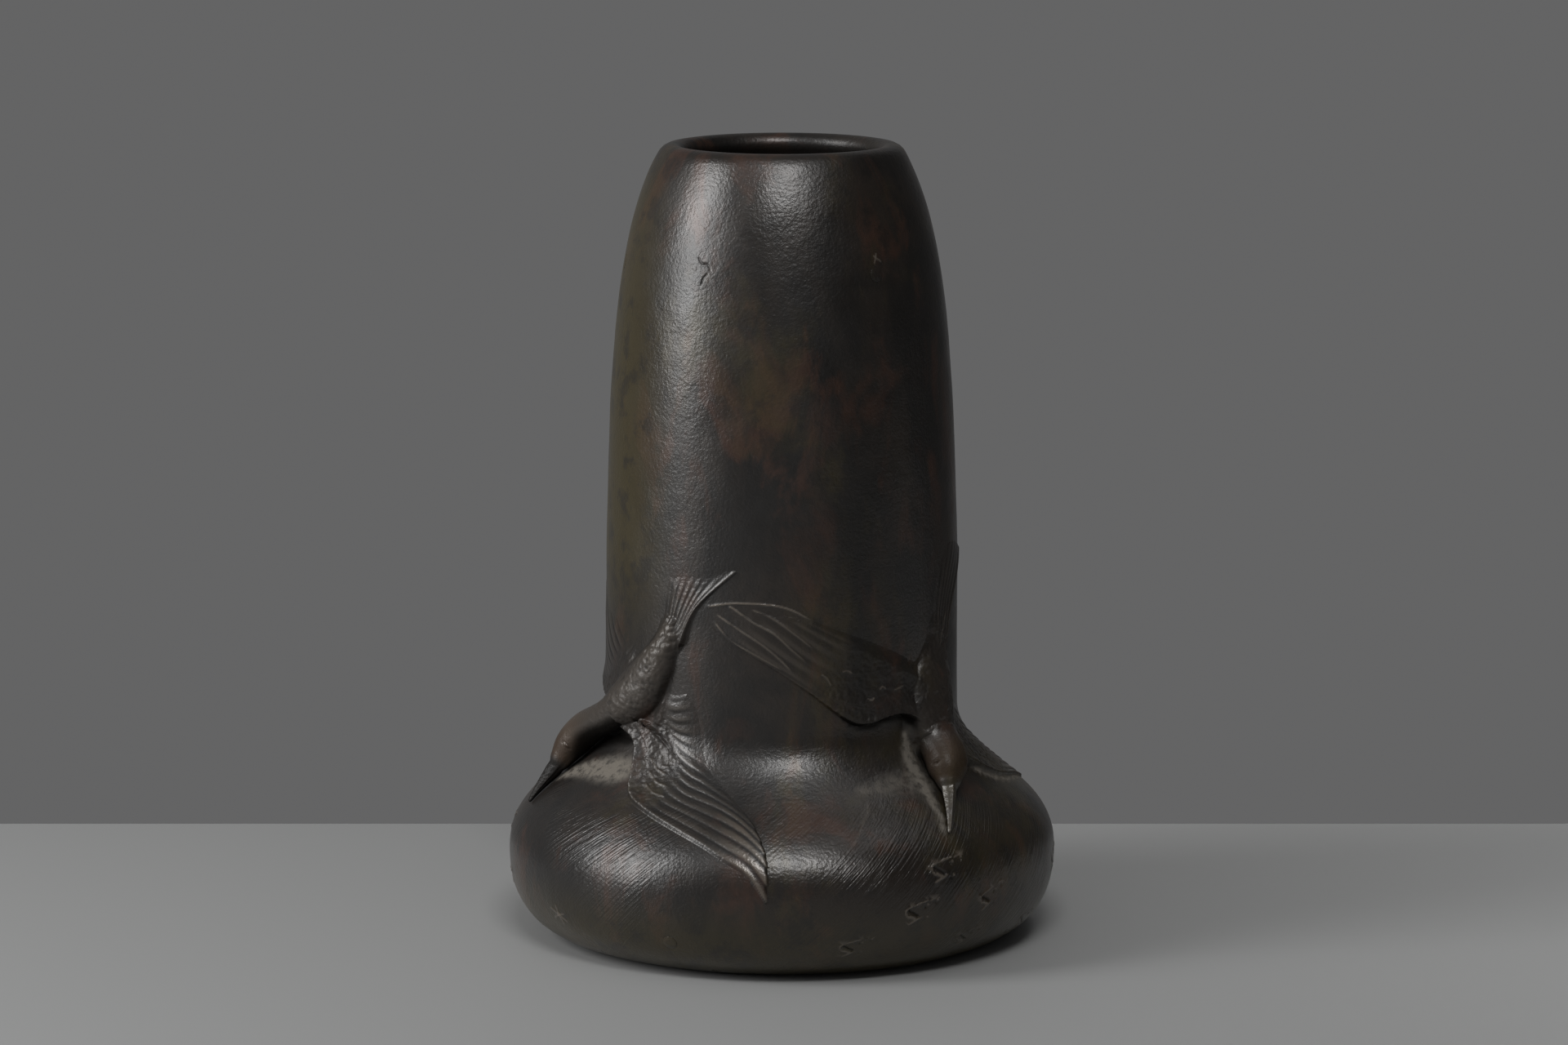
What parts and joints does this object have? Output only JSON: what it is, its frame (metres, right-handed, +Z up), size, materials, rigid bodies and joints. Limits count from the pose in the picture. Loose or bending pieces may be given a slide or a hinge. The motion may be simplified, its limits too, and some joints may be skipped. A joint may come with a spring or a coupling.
{
  "type": "bronze vase",
  "caption": "Cast bronze vase: tapering round neck with a rolled-in lip over a wide cushion-shaped bulb, with diving birds in relief round the shoulder.",
  "frame": {"origin": "on the vase's axis, in the plane that the foot ring stands on", "axes": "+Z up along the vase's axis, -Y out of the pictured front, +X to the right of that front"},
  "size_m": [0.17, 0.1706, 0.245],
  "materials": {
    "cast_bronze": "dark brown waxed patina, satin, worn lighter on raised edges",
    "rivet_bronze": "bare drawn bronze, dulled",
    "plug_bronze": "filed flush and patinated with the body",
    "plate_bronze": "hammered sheet, matt brown",
    "solder": "dull grey soft solder"
  },
  "bodies": {
    "root": {"vase_body": "cast_bronze", "bird_left": "cast_bronze", "bird_right": "cast_bronze", "bird_left_rivet_1": "rivet_bronze", "bird_left_rivet_2": "rivet_bronze", "bird_right_rivet_1": "rivet_bronze", "bird_right_rivet_2": "rivet_bronze", "core_plug_1": "plug_bronze", "core_plug_2": "plug_bronze", "core_plug_3": "plug_bronze", "core_plug_4": "plug_bronze", "core_plug_5": "plug_bronze", "core_plug_6": "plug_bronze", "bottom_plate": "plate_bronze", "solder_ring": "solder"}
  },
  "joints": []
}
